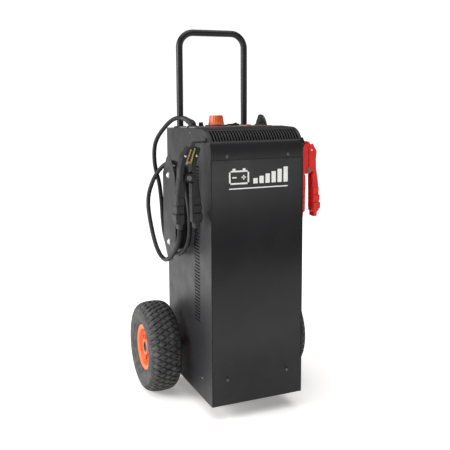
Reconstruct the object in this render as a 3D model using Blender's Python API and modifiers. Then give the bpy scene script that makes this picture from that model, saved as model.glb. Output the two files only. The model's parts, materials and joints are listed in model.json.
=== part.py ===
"""Trolley-mounted workshop battery charger.

Metres, +Z up, the front faces -Y and the floor is z = 0.  The left side is -X.
The pieces are drawn round the cabinet: its middle is y = 0 and its underside is UNDERSIDE.
The last step moves them all, so that the floor is z = 0 and the outer box is centred.
Pieces that exist on both sides are made by functions that take side = -1 (left) or +1 (right).
"""
import math

import bmesh
import bpy
from mathutils import Matrix, Vector

# ---- Driving dimensions ----
GAP = 0.0003                    # clearance between touching pieces
SHEET = 0.0015                  # cabinet sheet steel
WIDTH = 0.264                   # cabinet, across
DEPTH = 0.348                   # cabinet, front to rear
UNDERSIDE = 0.010               # lower edge of the cabinet
SEAM = 0.6615                   # joint between front panel and top cover
COVER_TOP = 0.7385              # cover height behind its front curve
COVER_REAR = 0.7270             # cover height at its rear edge
COVER_BREAK = -0.050            # y where the top begins to fall to the rear
COVER_RADIUS = 0.060            # front curve of the cover
TRAY_SHEET = 0.002
TRAY_LIP = 0.030                # height of the tray's upturned rear edge

WHEEL_RADIUS = 0.130
WHEEL_CENTRE_X = 0.197          # middle of the tyre
AXLE_Y = 0.112
AXLE_Z = 0.096
FOOT_X, FOOT_Y = 0.080, -0.066
AXLE_RADIUS = 0.010

HANDLE_RADIUS = 0.0095
HANDLE_HALF_WIDTH = 0.1011
HANDLE_Y = 0.144
HANDLE_TOP = 0.9995             # centre line of the grip
HANDLE_FOOT = 0.4700
HANDLE_BEND = 0.042

WINDER_Y = 0.040                # middle of the cable winder
WINDER_LOW = 0.417              # lower bolt of the winder
WINDER_HIGH = 0.604             # upper bolt of the winder
WINDER_STANDOFF = 0.038         # depth of the cable space behind the plate

LEAD_RADIUS = 0.006
LEAD_STEP = 0.030               # spacing of the lead's points
CLAMP_PIVOT_U = 0.180           # pivot, outward from the middle of the cabinet
CLAMP_PIVOT_Z = 0.618
CLAMP_HALF = 0.0125             # half thickness of the clamp's arms
CLAMP_Y = {-1: -0.135, 1: -0.105}
JAW_WIDTH = 0.018

FAN_Z = 0.560
INLET_X, INLET_Z = 0.060, 0.090  # mains inlet, on the rear panel
TRANSFORMER_Y = -0.015
KNOB_X, KNOB_Y = -0.030, 0.040
ROCKER_X, ROCKER_Y = 0.026, 0.050
FUSE_X, FUSE_Y = -0.074, 0.045
GLAND_X, GLAND_Y = 0.103, 0.036
GLAND_TILT = (0.42, 0.80, 0.42)  # outward, rearward and up
GLAND_LIFT = 0.0105             # middle of the gland's dome above the cover
GLAND_REACH = 0.022

HALF_W = WIDTH / 2
HALF_D = DEPTH / 2
FLOOR = AXLE_Z - WHEEL_RADIUS
BOX_MIDDLE_Y = (AXLE_Y + WHEEL_RADIUS - HALF_D) / 2
COVER_SLOPE = math.atan2(COVER_TOP - COVER_REAR, HALF_D - COVER_BREAK)
SIDE_NAME = {-1: "left", 1: "right"}

# Local XY outline -> world plane: thickness along X, Y or Z.
PLANE_YZ = Matrix(((0, 0, 1), (1, 0, 0), (0, 1, 0))).to_4x4()
PLANE_XZ = Matrix(((1, 0, 0), (0, 0, -1), (0, 1, 0))).to_4x4()
AXIS_X = Matrix.Rotation(math.pi / 2, 4, "Y")
AXIS_Y = Matrix.Rotation(-math.pi / 2, 4, "X")

MATERIALS = {
    "black_powder_coat": ((0.018, 0.018, 0.020), 0.42, 0.0),
    "panel_label": ((0.62, 0.62, 0.60), 0.45, 0.0),
    "handle_black": ((0.014, 0.014, 0.015), 0.35, 0.0),
    "black_rubber": ((0.030, 0.031, 0.033), 0.75, 0.0),
    "orange_rim": ((0.78, 0.16, 0.03), 0.40, 0.0),
    "orange_knob": ((0.80, 0.12, 0.03), 0.38, 0.0),
    "black_plastic": ((0.020, 0.020, 0.022), 0.45, 0.0),
    "grey_plastic": ((0.30, 0.31, 0.32), 0.55, 0.0),
    "red_plastic": ((0.70, 0.020, 0.018), 0.42, 0.0),
    "zinc_steel": ((0.62, 0.62, 0.60), 0.30, 1.0),
    "brass": ((0.62, 0.47, 0.20), 0.32, 1.0),
    "aluminium": ((0.70, 0.71, 0.72), 0.38, 1.0),
    "lamination_steel": ((0.22, 0.22, 0.24), 0.50, 1.0),
    "copper_winding": ((0.60, 0.26, 0.11), 0.40, 1.0),
    "circuit_board": ((0.02, 0.16, 0.06), 0.50, 0.0),
    "lead_rubber": ((0.022, 0.022, 0.024), 0.60, 0.0),
}


# ---- Scene and object helpers ----
def clear_scene():
    for obj in list(bpy.data.objects):
        bpy.data.objects.remove(obj, do_unlink=True)


def make_collection(name):
    collection = bpy.data.collections.new(name)
    bpy.context.scene.collection.children.link(collection)
    return collection


def make_material(name):
    colour, roughness, metallic = MATERIALS[name]
    material = bpy.data.materials.get(name) or bpy.data.materials.new(name)
    material.use_nodes = True
    shader = material.node_tree.nodes["Principled BSDF"]
    shader.inputs["Base Color"].default_value = (*colour, 1.0)
    shader.inputs["Roughness"].default_value = roughness
    shader.inputs["Metallic"].default_value = metallic
    return material


def link(name, data, material=None, matrix=None):
    """Put a mesh or a curve in the charger's collection."""
    obj = bpy.data.objects.new(name, data)
    PARTS.objects.link(obj)
    obj.matrix_world = matrix or Matrix.Identity(4)
    if material:
        data.materials.append(make_material(material))
    return obj


def as_cutter(obj):
    PARTS.objects.unlink(obj)
    CUTTERS.objects.link(obj)
    obj.hide_render = True
    obj.display_type = "WIRE"
    return obj


def boolean(obj, other, operation="DIFFERENCE"):
    """Cut or join another object, which becomes a hidden cutter."""
    if other.name not in CUTTERS.objects:
        as_cutter(other)
    modifier = obj.modifiers.new(operation.lower(), "BOOLEAN")
    modifier.operation = operation
    modifier.solver = "EXACT"
    modifier.object = other
    return obj


def shade(mesh, angle=35):
    mesh.shade_smooth()
    mesh.set_sharp_from_angle(angle=math.radians(angle))


# ---- Shape helpers ----
def box(name, low, high, material=None, matrix=None):
    """An axis-aligned box between two corners."""
    low, high = Vector(low), Vector(high)
    mesh = bpy.data.meshes.new(name)
    bm = bmesh.new()
    bmesh.ops.create_cube(bm, size=1.0)
    bmesh.ops.scale(bm, vec=high - low, verts=bm.verts)
    bmesh.ops.translate(bm, vec=(low + high) / 2, verts=bm.verts)
    bm.to_mesh(mesh)
    bm.free()
    return link(name, mesh, material, matrix)


def boxes(name, corners):
    """Several separate boxes in one mesh, for cutting a row of slots."""
    mesh = bpy.data.meshes.new(name)
    bm = bmesh.new()
    for low, high in corners:
        low, high = Vector(low), Vector(high)
        placed = Matrix.Translation((low + high) / 2) @ Matrix.Diagonal((*(high - low), 1.0))
        bmesh.ops.create_cube(bm, size=1.0, matrix=placed)
    bm.to_mesh(mesh)
    bm.free()
    return link(name, mesh)


def cone(name, radius_low, radius_high, height, material=None, matrix=None, sides=24):
    """A closed cone or cylinder standing on its local origin, along local Z."""
    mesh = bpy.data.meshes.new(name)
    bm = bmesh.new()
    bmesh.ops.create_cone(
        bm, cap_ends=True, segments=sides, radius1=radius_low, radius2=radius_high,
        depth=height, matrix=Matrix.Translation((0, 0, height / 2)))
    bm.to_mesh(mesh)
    bm.free()
    shade(mesh)
    return link(name, mesh, material, matrix)


def turned(name, profile, material, matrix, steps=32):
    """Turn a closed (radius, height) outline round local Z."""
    area = sum(a[0] * b[1] - b[0] * a[1] for a, b in zip(profile, profile[1:] + profile[:1]))
    if area > 0:
        profile = profile[::-1]
    count = len(profile)
    edges = [(i, (i + 1) % count) for i in range(count)]
    mesh = bpy.data.meshes.new(name)
    mesh.from_pydata([(radius, 0, height) for radius, height in profile], edges, [])
    obj = link(name, mesh, material, matrix)
    screw = obj.modifiers.new("turn", "SCREW")
    screw.axis = "Z"
    screw.steps = steps
    screw.render_steps = steps
    screw.use_merge_vertices = True
    screw.merge_threshold = 0.00005
    return obj


def flat(name, loops, thickness, material, matrix):
    """A flat plate: the first loop is its outline, the others are its holes."""
    curve = bpy.data.curves.new(name, "CURVE")
    curve.dimensions = "2D"
    curve.fill_mode = "BOTH"
    curve.extrude = thickness / 2
    for loop in loops:
        spline = curve.splines.new("POLY")
        spline.points.add(len(loop) - 1)
        for point, (a, b) in zip(spline.points, loop):
            point.co = (a, b, 0, 1)
        spline.use_cyclic_u = True
    return solid_from_curve(name, curve, material, matrix)


def solid_from_curve(name, curve, material, matrix):
    """Make a curve's evaluated shape a welded mesh in the same place."""
    source = link(name + "_outline", curve, None, matrix)
    bpy.context.view_layer.update()
    evaluated = source.evaluated_get(bpy.context.evaluated_depsgraph_get())
    mesh = bpy.data.meshes.new_from_object(evaluated)
    mesh.name = name
    bm = bmesh.new()
    bm.from_mesh(mesh)
    bmesh.ops.remove_doubles(bm, verts=bm.verts, dist=0.00001)
    bm.to_mesh(mesh)
    bm.free()
    placed = source.matrix_world.copy()
    bpy.data.objects.remove(source, do_unlink=True)
    mesh.materials.clear()
    return link(name, mesh, material, placed)


def folded_sheet(name, path, length, thickness, material, matrix, offset=-1.0):
    """Sheet metal folded along a path in local XY and running along local Z."""
    mesh = bpy.data.meshes.new(name)
    bm = bmesh.new()
    low = [bm.verts.new((a, b, -length / 2)) for a, b in path]
    high = [bm.verts.new((a, b, length / 2)) for a, b in path]
    for i in range(len(path) - 1):
        bm.faces.new((low[i], high[i], high[i + 1], low[i + 1]))
    bm.to_mesh(mesh)
    bm.free()
    obj = link(name, mesh, material, matrix)
    solidify = obj.modifiers.new("sheet", "SOLIDIFY")
    solidify.thickness = thickness
    solidify.offset = offset
    solidify.use_even_offset = True
    return obj


def tube(name, points, radius, material, resolution=4):
    """A round bar along a list of points, with closed ends."""
    curve = bpy.data.curves.new(name, "CURVE")
    curve.dimensions = "3D"
    curve.bevel_depth = radius
    curve.bevel_resolution = resolution
    curve.use_fill_caps = True
    spline = curve.splines.new("POLY")
    spline.points.add(len(points) - 1)
    for point, place in zip(spline.points, points):
        point.co = (*place, 1)
    return link(name, curve, material)


def circle(centre_a, centre_b, radius, sides=20):
    """A round loop for flat()."""
    return [(centre_a + radius * math.cos(math.tau * i / sides),
             centre_b + radius * math.sin(math.tau * i / sides)) for i in range(sides)]


def arc(centre_a, centre_b, radius, start, stop, steps):
    """Points of an arc, angles in degrees."""
    points = []
    for i in range(steps + 1):
        angle = math.radians(start + (stop - start) * i / steps)
        points.append((centre_a + radius * math.cos(angle), centre_b + radius * math.sin(angle)))
    return points


def rectangle(low_a, low_b, high_a, high_b):
    return [(low_a, low_b), (high_a, low_b), (high_a, high_b), (low_a, high_b)]


def smooth_route(route, step):
    """Evenly spaced points on a centripetal curve through the route's own points."""
    route = [Vector(point) for point in route]
    route = [2 * route[0] - route[1]] + route + [2 * route[-1] - route[-2]]
    dense = []
    for p0, p1, p2, p3 in zip(route, route[1:], route[2:], route[3:]):
        t1 = (p1 - p0).length ** 0.5
        t2 = t1 + (p2 - p1).length ** 0.5
        t3 = t2 + (p3 - p2).length ** 0.5
        for i in range(24):
            t = t1 + (t2 - t1) * i / 24
            a1 = p0.lerp(p1, t / t1)
            a2 = p1.lerp(p2, (t - t1) / (t2 - t1))
            a3 = p2.lerp(p3, (t - t2) / (t3 - t2))
            b1 = a1.lerp(a2, t / t2)
            b2 = a2.lerp(a3, (t - t1) / (t3 - t1))
            dense.append(b1.lerp(b2, (t - t1) / (t2 - t1)))
    dense.append(route[-2])
    lengths = [0.0]
    for a, b in zip(dense, dense[1:]):
        lengths.append(lengths[-1] + (b - a).length)
    count = max(2, round(lengths[-1] / step))
    points, index = [], 0
    for i in range(count + 1):
        wanted = lengths[-1] * i / count
        while index < len(dense) - 2 and lengths[index + 1] < wanted:
            index += 1
        span = lengths[index + 1] - lengths[index]
        points.append(dense[index].lerp(dense[index + 1], (wanted - lengths[index]) / span))
    return points


# ---- Cabinet ----
def cover_line(inset=0.0):
    """(y, z) outline of the top cover from its front seam to its rear edge."""
    centre_y = -HALF_D + COVER_RADIUS
    centre_z = COVER_TOP - COVER_RADIUS
    line = [(-HALF_D + inset, SEAM)]
    line += arc(centre_y, centre_z, COVER_RADIUS - inset, 180, 90, 8)
    line += [(COVER_BREAK, COVER_TOP - inset), (HALF_D, COVER_REAR - inset)]
    return line


def cover_height(y):
    """Height of the cover's sloping top at a given y."""
    return COVER_TOP - max(0.0, y - COVER_BREAK) * math.tan(COVER_SLOPE)


def on_cover(x, y, lift=GAP):
    """A frame that stands on the sloping top, local Z square to it."""
    tilt = Matrix.Rotation(-COVER_SLOPE, 4, "X")
    return Matrix.Translation((x, y, cover_height(y))) @ tilt @ Matrix.Translation((0, 0, lift))


def make_top_cover():
    cover = folded_sheet("top_cover", cover_line(), WIDTH, SHEET, "black_powder_coat", PLANE_YZ)
    pitch, count, slot = 0.0080, 31, 0.0040
    slot_front, slot_back, slot_low, slot_high = -0.1690, -0.1345, 0.7065, 0.7500
    first = -pitch * (count - 1) / 2
    slots = boxes("cover_slot_cutter", [
        ((first + i * pitch - slot / 2, slot_front, slot_low), (first + i * pitch + slot / 2, slot_back, slot_high))
        for i in range(count)])
    boolean(cover, slots)
    holes = [(KNOB_X, KNOB_Y, 0.0048)]
    holes += [(side * HANDLE_HALF_WIDTH, HANDLE_Y, 0.0145) for side in (-1, 1)]
    for i, (x, y, radius) in enumerate(holes):
        cutter = cone(f"cover_hole_cutter_{i}", radius, radius, 0.040, None, on_cover(x, y, -0.020), 20)
        boolean(cover, cutter)


def make_side_panel(side):
    inset = SHEET + GAP
    outline = [(-HALF_D, UNDERSIDE), (HALF_D, UNDERSIDE)]
    outline += cover_line(inset)[::-1]
    outline[-1] = (-HALF_D + inset, SEAM - GAP)
    outline.append((-HALF_D, SEAM - GAP))
    loops = [outline, circle(AXLE_Y, AXLE_Z, 0.0154)]
    pitch, count, lowest, half_slot = 0.0089, 48, 0.2190, 0.0018
    for i in range(count):
        z = lowest + i * pitch
        loops.append(rectangle(-0.0910, z - half_slot, -0.0500, z + half_slot))
    name = SIDE_NAME[side] + "_side_panel"
    place = Matrix.Translation((side * (HALF_W - SHEET / 2), 0, 0)) @ PLANE_YZ
    flat(name, loops, SHEET, "black_powder_coat", place)


def make_front_panel():
    half = HALF_W - SHEET - GAP
    back = -HALF_D + 0.018
    path = [(half, back), (half, -HALF_D), (-half, -HALF_D), (-half, back)]
    low, high = UNDERSIDE + GAP, SEAM - GAP
    place = Matrix.Translation((0, 0, (low + high) / 2))
    folded_sheet("front_panel", path, high - low, SHEET, "black_powder_coat", place)


def make_rear_panel():
    half = HALF_W - SHEET - GAP
    loops = [rectangle(-half, UNDERSIDE + GAP, half, COVER_REAR - SHEET - 2 * GAP)]
    loops.append(circle(INLET_X, INLET_Z, 0.0108, 16))
    for i in range(9):
        z = FAN_Z - 0.040 + 0.010 * i
        loops.append(rectangle(-0.040, z - 0.002, 0.040, z + 0.002))
    place = Matrix.Translation((0, HALF_D - SHEET / 2, 0)) @ PLANE_XZ
    flat("rear_panel", loops, SHEET, "black_powder_coat", place)


def make_base_tray():
    half = HALF_W - 2 * (SHEET + GAP)
    low = UNDERSIDE + 0.0005
    back = HALF_D - SHEET - GAP
    path = [(back, low + TRAY_LIP), (back, low), (-back, low)]
    folded_sheet("base_tray", path, 2 * half, TRAY_SHEET, "black_powder_coat", PLANE_YZ)
    for side in (-1, 1):
        place = Matrix.Translation((side * FOOT_X, FOOT_Y, FLOOR))
        cone("foot_" + SIDE_NAME[side], 0.016, 0.014, low - GAP - FLOOR, "black_rubber", place, 20)


def make_control_panel():
    middle_y, half_y = 0.048, 0.066
    panel = flat("control_panel", [rectangle(-0.116, -half_y, 0.116, half_y)], 0.001,
                 "panel_label", on_cover(0, middle_y, GAP + 0.0005))
    holes = [(KNOB_X, KNOB_Y, 0.0048), (-GLAND_X, GLAND_Y, 0.0165), (GLAND_X, GLAND_Y, 0.0165)]
    for i, (x, y, radius) in enumerate(holes):
        cutter = cone(f"label_hole_cutter_{i}", radius, radius, 0.020, None, on_cover(x, y, -0.010), 20)
        boolean(panel, cutter)


# ---- Controls on the top ----
def make_controls():
    top = GAP + 0.001 + GAP
    turned("selector_bezel", [(0.0048, 0), (0.0048, 0.004), (0.030, 0.004), (0.0325, 0.0025), (0.0325, 0)],
           "black_plastic", on_cover(KNOB_X, KNOB_Y, top), 24)
    knob = cone("selector_knob", 0.0225, 0.0185, 0.026, "orange_knob",
                on_cover(KNOB_X, KNOB_Y, top + 0.004 + GAP), 24)
    shaft = cone("knob_shaft", 0.004, 0.004, 0.030, None, on_cover(KNOB_X, KNOB_Y, top - 0.018), 12)
    boolean(knob, shaft, "UNION")

    frame = on_cover(ROCKER_X, ROCKER_Y, top + 0.003)
    flat("rocker_frame", [rectangle(-0.0145, -0.010, 0.0145, 0.010), rectangle(-0.0118, -0.0073, 0.0118, 0.0073)],
         0.006, "black_plastic", frame)
    rocker = [(-0.0060, -0.0030), (0.0060, -0.0030), (0.0105, 0.0032), (0.0, 0.0014), (-0.0105, 0.0032)]
    turn = Matrix.Rotation(math.radians(-8), 4, "Y")
    place = on_cover(ROCKER_X, ROCKER_Y, top + 0.0044) @ turn @ PLANE_XZ
    flat("rocker_switch", [rocker], 0.0138, "black_plastic", place)

    turned("fuse_cap", [(0.0025, 0), (0.0085, 0), (0.0085, 0.002), (0.0065, 0.003), (0.0060, 0.012),
                        (0.0025, 0.012)], "black_plastic", on_cover(FUSE_X, FUSE_Y, top), 16)


# ---- Handle ----
def make_handle():
    half, radius = HANDLE_HALF_WIDTH, HANDLE_BEND
    path = [(-half, HANDLE_FOOT)]
    path += arc(-half + radius, HANDLE_TOP - radius, radius, 180, 90, 7)
    path += arc(half - radius, HANDLE_TOP - radius, radius, 90, 0, 7)
    path += [(half, HANDLE_FOOT)]
    tube("handle_tube", [(x, HANDLE_Y, z) for x, z in path], HANDLE_RADIUS, "handle_black", 4)

    for side in (-1, 1):
        turned("handle_grommet_" + SIDE_NAME[side],
               [(0.0102, -0.004), (0.0140, -0.004), (0.0140, 0), (0.0185, 0), (0.0175, 0.003), (0.0102, 0.004)],
               "black_rubber", on_cover(side * HANDLE_HALF_WIDTH, HANDLE_Y), 20)

    back = HALF_D - SHEET - GAP
    for name, z in (("handle_bracket_upper", 0.650), ("handle_bracket_lower", 0.486)):
        loops = [rectangle(-0.129, 0.126, 0.129, back)]
        loops += [circle(side * half, HANDLE_Y, HANDLE_RADIUS + 2 * GAP, 20) for side in (-1, 1)]
        flat(name, loops, 0.004, "zinc_steel", Matrix.Translation((0, 0, z)))


# ---- Wheels and axle ----
def tyre_profile():
    """Closed (radius, width) outline of the tyre, 94 mm wide."""
    half = [(0.0542, 0.0300), (0.0665, 0.0332), (0.0720, 0.0400), (0.0830, 0.0460), (0.0990, 0.0470),
            (0.1130, 0.0437), (0.1235, 0.0360), (0.1285, 0.0238), (WHEEL_RADIUS, 0.0088)]
    return half + [(radius, -width) for radius, width in reversed(half)]


RIM_PROFILE = [
    (0.0655, 0.0360), (0.0655, 0.0338), (0.0535, 0.0312), (0.0515, 0.0240), (0.0495, 0.0),
    (0.0515, -0.0240), (0.0535, -0.0312), (0.0655, -0.0338), (0.0655, -0.0360), (0.0570, -0.0360),
    (0.0485, -0.0290), (0.0460, -0.0060), (0.0240, -0.0040), (0.0225, -0.0320), (0.0173, -0.0320),
    (0.0173, 0.0300), (0.0225, 0.0300), (0.0240, 0.0060), (0.0450, 0.0040), (0.0480, 0.0200),
    (0.0500, 0.0310), (0.0570, 0.0360),
]


def make_wheel(side):
    name = SIDE_NAME[side]
    place = Matrix.Translation((side * WHEEL_CENTRE_X, AXLE_Y, AXLE_Z))
    place = place @ Matrix.Rotation(side * math.pi / 2, 4, "Y")
    turned("tyre_" + name, tyre_profile(), "black_rubber", place, 32)
    turned("rim_" + name, RIM_PROFILE, "orange_rim", place, 24)
    turned("wheel_bush_" + name,
           [(0.0103, -0.0322), (0.0170, -0.0322), (0.0170, 0.0316), (0.0135, 0.0316), (0.0135, 0.0236),
            (0.0103, 0.0236)], "grey_plastic", place, 20)
    turned("axle_clip_" + name, [(0.0103, 0.0240), (0.0130, 0.0240), (0.0130, 0.0256), (0.0103, 0.0256)],
           "zinc_steel", place, 16)


def make_axle():
    length = WHEEL_CENTRE_X + 0.0270
    place = Matrix.Translation((-length, AXLE_Y, AXLE_Z)) @ AXIS_X
    cone("axle", AXLE_RADIUS, AXLE_RADIUS, 2 * length, "zinc_steel", place, 24)
    flange, inner, end = 0.1296, 0.1266, WHEEL_CENTRE_X - 0.0329
    half = [(0.0150, end), (0.0150, flange), (0.0350, flange), (0.0350, inner), (0.0150, inner)]
    profile = half + [(radius, -along) for radius, along in reversed(half)]
    profile += [(0.0104, -end), (0.0104, end)]
    turned("axle_tube", profile, "zinc_steel", Matrix.Translation((0, AXLE_Y, AXLE_Z)) @ AXIS_X, 20)


# ---- Cable winders ----
def make_winder(side):
    name = SIDE_NAME[side]
    core = arc(WINDER_Y, WINDER_HIGH, 0.023, 0, 180, 8) + arc(WINDER_Y, WINDER_LOW, 0.023, 180, 360, 8)
    inner = HALF_W + GAP
    place = Matrix.Translation((side * (inner + WINDER_STANDOFF / 2), 0, 0)) @ PLANE_YZ
    flat("winder_core_" + name, [core], WINDER_STANDOFF, "black_powder_coat", place)

    middle = (WINDER_LOW + WINDER_HIGH) / 2
    tip, shoulder, reach, waist = 0.026, 0.052, 0.148, 0.095
    outline = [(WINDER_Y + shoulder, middle - waist), (WINDER_Y + shoulder, middle + waist)]
    outline += arc(WINDER_Y, middle + reach - tip, tip, 25, 155, 8)
    outline += [(WINDER_Y - shoulder, middle + waist), (WINDER_Y - shoulder, middle - waist)]
    outline += arc(WINDER_Y, middle - reach + tip, tip, 205, 335, 8)
    small = [circle(WINDER_Y, z, 0.0022, 10) for z in (WINDER_HIGH + 0.020, WINDER_LOW - 0.018)]
    outer = inner + WINDER_STANDOFF + GAP + 0.001
    place = Matrix.Translation((side * outer, 0, 0)) @ PLANE_YZ
    flat("winder_plate_" + name, [outline] + small, 0.002, "black_powder_coat", place)


# ---- Clamps and what they hang on ----
def clamp_frame(side):
    """Local X outward from the pivot, local Y up, local Z through the arms."""
    place = Matrix.Translation((side * CLAMP_PIVOT_U, CLAMP_Y[side], CLAMP_PIVOT_Z))
    if side > 0:
        return place @ PLANE_XZ
    return place @ Matrix(((-1, 0, 0), (0, 0, 1), (0, 1, 0))).to_4x4()


INNER_ARM = [
    (-0.0070, 0.0160), (-0.0085, 0.0340), (-0.0225, 0.0780), (-0.0330, 0.0745), (-0.0205, 0.0340),
    (-0.0215, 0.0080), (-0.0265, -0.0160), (-0.0300, -0.0420), (-0.0330, -0.0760), (-0.0345, -0.1150),
    (-0.0290, -0.1190), (-0.0280, -0.1320), (-0.0150, -0.1320), (-0.0140, -0.1190), (-0.0090, -0.1150),
    (-0.0075, -0.0420), (-0.0080, -0.0160), (-0.0125, -0.0080), (-0.0125, 0.0080),
]
OUTER_ARM = [
    (0.0110, 0.0160), (0.0090, 0.0340), (-0.0065, 0.0765), (0.0010, 0.0800), (0.0185, 0.0520), (0.0250, 0.0250),
    (0.0260, 0.0020), (0.0290, -0.0160), (0.0330, -0.0420), (0.0350, -0.0760), (0.0360, -0.1150),
    (0.0300, -0.1190), (0.0290, -0.1320), (0.0165, -0.1320), (0.0160, -0.1190), (0.0125, -0.1150),
    (0.0110, -0.0420), (0.0105, -0.0160), (0.0135, -0.0080), (0.0135, 0.0080),
]


def make_arm(name, outline, ears, material, frame):
    """A clamp arm: a moulded body joined to one or two ears that carry the pivot pin."""
    arm = flat(name, [outline], 2 * CLAMP_HALF, material, frame)
    bevel = arm.modifiers.new("soft_edges", "BEVEL")
    bevel.width = 0.0025
    bevel.segments = 1
    bevel.limit_method = "ANGLE"
    bevel.angle_limit = math.radians(60)
    toward = 1 if outline is INNER_ARM else -1
    root = -0.0165 * toward
    for i, (middle, thickness) in enumerate(ears):
        middle_angle = 0 if toward > 0 else 180
        ring = arc(0, 0, 0.0105, middle_angle - 90, middle_angle + 90, 8)
        ring += [(root, ring[-1][1]), (root, ring[0][1])]
        ear = flat(f"{name}_ear_{i}", [ring], thickness, None, frame @ Matrix.Translation((0, 0, middle)))
        boolean(arm, ear, "UNION")
    bore = cone(name + "_bore", 0.0039, 0.0039, 0.040, None, frame @ Matrix.Translation((0, 0, -0.020)), 16)
    boolean(arm, bore)
    return arm


def tooth_plate(start, stop, toward, teeth=6, thickness=0.0038, bite=0.0012):
    """A jaw plate outline from start to stop, with teeth on the side it bites with."""
    start, stop = Vector(start), Vector(stop)
    along = stop - start
    across = Vector((-along.y, along.x)).normalized() * toward
    points = [start, stop]
    for i in range(teeth, -1, -1):
        foot = start + along * (i / teeth)
        points.append(foot + across * thickness)
        if i:
            points.append(foot - along * (0.5 / teeth) + across * (thickness + bite))
    return [tuple(point) for point in points]


def make_clamp(side, plastic):
    name = SIDE_NAME[side]
    frame = clamp_frame(side)
    cheeks = [(-0.0102, 0.0046), (0.0102, 0.0046)]
    tongue = [(0.0, 0.0070)]
    make_arm("clamp_inner_arm_" + name, INNER_ARM, cheeks, plastic, frame)
    make_arm("clamp_outer_arm_" + name, OUTER_ARM, tongue, plastic, frame)
    head, pin = 0.0065, 0.0035
    far = CLAMP_HALF + GAP
    profile = [(0.0012, -far - 0.002), (head, -far - 0.002), (head, -far), (pin, -far), (pin, far), (head, far),
               (head, far + 0.002), (0.0012, far + 0.002)]
    turned("clamp_pivot_" + name, profile, "zinc_steel", frame, 12)
    turns, per_turn, low, high = 2, 10, 0.0046, 0.0068
    coil = []
    for i in range(turns * per_turn + 1):
        angle = math.tau * i / per_turn
        along = low + (high - low) * i / (turns * per_turn)
        coil.append(frame @ Vector((0.0051 * math.cos(angle), 0.0051 * math.sin(angle), along)))
    tube("clamp_spring_" + name, coil, 0.00038, "zinc_steel", 0)
    jaws = (("inner", (-0.0082, 0.0355), (-0.0205, 0.0745), -1), ("outer", (0.0087, 0.0355), (-0.0052, 0.0735), 1))
    for which, start, stop, toward in jaws:
        shift = 0.0004 * -toward
        outline = tooth_plate((start[0] + shift, start[1]), (stop[0] + shift, stop[1]), toward)
        flat(f"clamp_jaw_{which}_{name}", [outline], JAW_WIDTH, "brass", frame)


def make_clamp_rest(side):
    """Folded tab on the side panel that the jaws close on, in the clamp's frame."""
    thickness = 0.0025
    wall = HALF_W + GAP + thickness / 2 - CLAMP_PIVOT_U
    path = [(wall, 0.0990), (wall, 0.0890), (-0.0179, 0.0890), (-0.0019, 0.0420)]
    folded_sheet("clamp_rest_" + SIDE_NAME[side], path, 0.022, thickness, "black_powder_coat",
                 clamp_frame(side), 0.0)


# ---- Leads ----
# (outward, y, z) along each lead, from its gland to its clamp.
DOWN_TO_WINDER = [
    (0.1220, 0.072, 0.7585), (0.1350, 0.088, 0.7570), (0.1480, 0.102, 0.7460), (0.1600, 0.116, 0.7280),
    (0.1710, 0.129, 0.7080), (0.1780, 0.138, 0.6870), (0.1810, 0.142, 0.6630), (0.1790, 0.146, 0.6260),
    (0.1740, 0.146, 0.5980), (0.1680, 0.144, 0.5720), (0.1630, 0.144, 0.5330), (0.1600, 0.145, 0.4970),
    (0.1580, 0.146, 0.4610), (0.1550, 0.140, 0.4190), (0.1520, 0.118, 0.3900), (0.1500, 0.085, 0.3770),
]
ROUND_WINDER = [
    (0.1490, 0.045, 0.3780), (0.1500, 0.011, 0.3880), (0.1500, -0.025, 0.4070), (0.1490, -0.048, 0.4300),
    (0.1480, -0.058, 0.4620), (0.1480, -0.055, 0.5100), (0.1480, -0.036, 0.5600), (0.1490, -0.008, 0.6050),
    (0.1500, 0.018, 0.6280), (0.1530, 0.045, 0.6370), (0.1580, 0.074, 0.6350), (0.1660, 0.098, 0.6260),
]
LEFT_LOOP = [
    (0.1780, 0.108, 0.6110), (0.1860, 0.117, 0.5950), (0.1920, 0.127, 0.5770), (0.2000, 0.139, 0.5410),
    (0.2040, 0.135, 0.5110), (0.2060, 0.120, 0.4840), (0.2070, 0.101, 0.4570), (0.2070, 0.080, 0.4290),
    (0.2060, 0.054, 0.4020), (0.2050, 0.020, 0.3850), (0.2040, -0.020, 0.3820), (0.2040, -0.057, 0.3960),
    (0.2040, -0.093, 0.4180), (0.2040, -0.122, 0.4440), (0.2033, -0.134, 0.4680),
]
RIGHT_LOOP = [
    (0.1760, 0.117, 0.6050), (0.1800, 0.133, 0.5700), (0.1810, 0.140, 0.5250), (0.1810, 0.130, 0.4750),
    (0.1810, 0.106, 0.4330), (0.1810, 0.070, 0.4020), (0.1810, 0.030, 0.3860), (0.1800, -0.010, 0.3850),
    (0.1760, -0.045, 0.3980), (0.1690, -0.077, 0.4200), (0.1620, -0.100, 0.4480), (0.1587, -0.105, 0.4680),
]


def gland_start(side):
    """Where a gland's sleeve starts, and the way it points."""
    place = Vector((side * GLAND_X, GLAND_Y, cover_height(GLAND_Y) + GLAND_LIFT))
    outward, rearward, up = GLAND_TILT
    return place, Vector((side * outward, rearward, up)).normalized()


def make_gland(side):
    name = "lead_gland_" + SIDE_NAME[side]
    base = cone(name, 0.0155, 0.0150, 0.003, "black_plastic", on_cover(side * GLAND_X, GLAND_Y), 16)
    place, direction = gland_start(side)
    mesh = bpy.data.meshes.new(name + "_dome")
    bm = bmesh.new()
    bmesh.ops.create_uvsphere(bm, u_segments=12, v_segments=8, radius=0.0100)
    bm.to_mesh(mesh)
    bm.free()
    boolean(base, link(name + "_dome", mesh, None, Matrix.Translation(place)), "UNION")
    turn = direction.to_track_quat("Z", "Y").to_matrix().to_4x4()
    sleeve = cone(name + "_sleeve", 0.0092, 0.0078, GLAND_REACH, None, Matrix.Translation(place) @ turn, 12)
    boolean(base, sleeve, "UNION")


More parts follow.
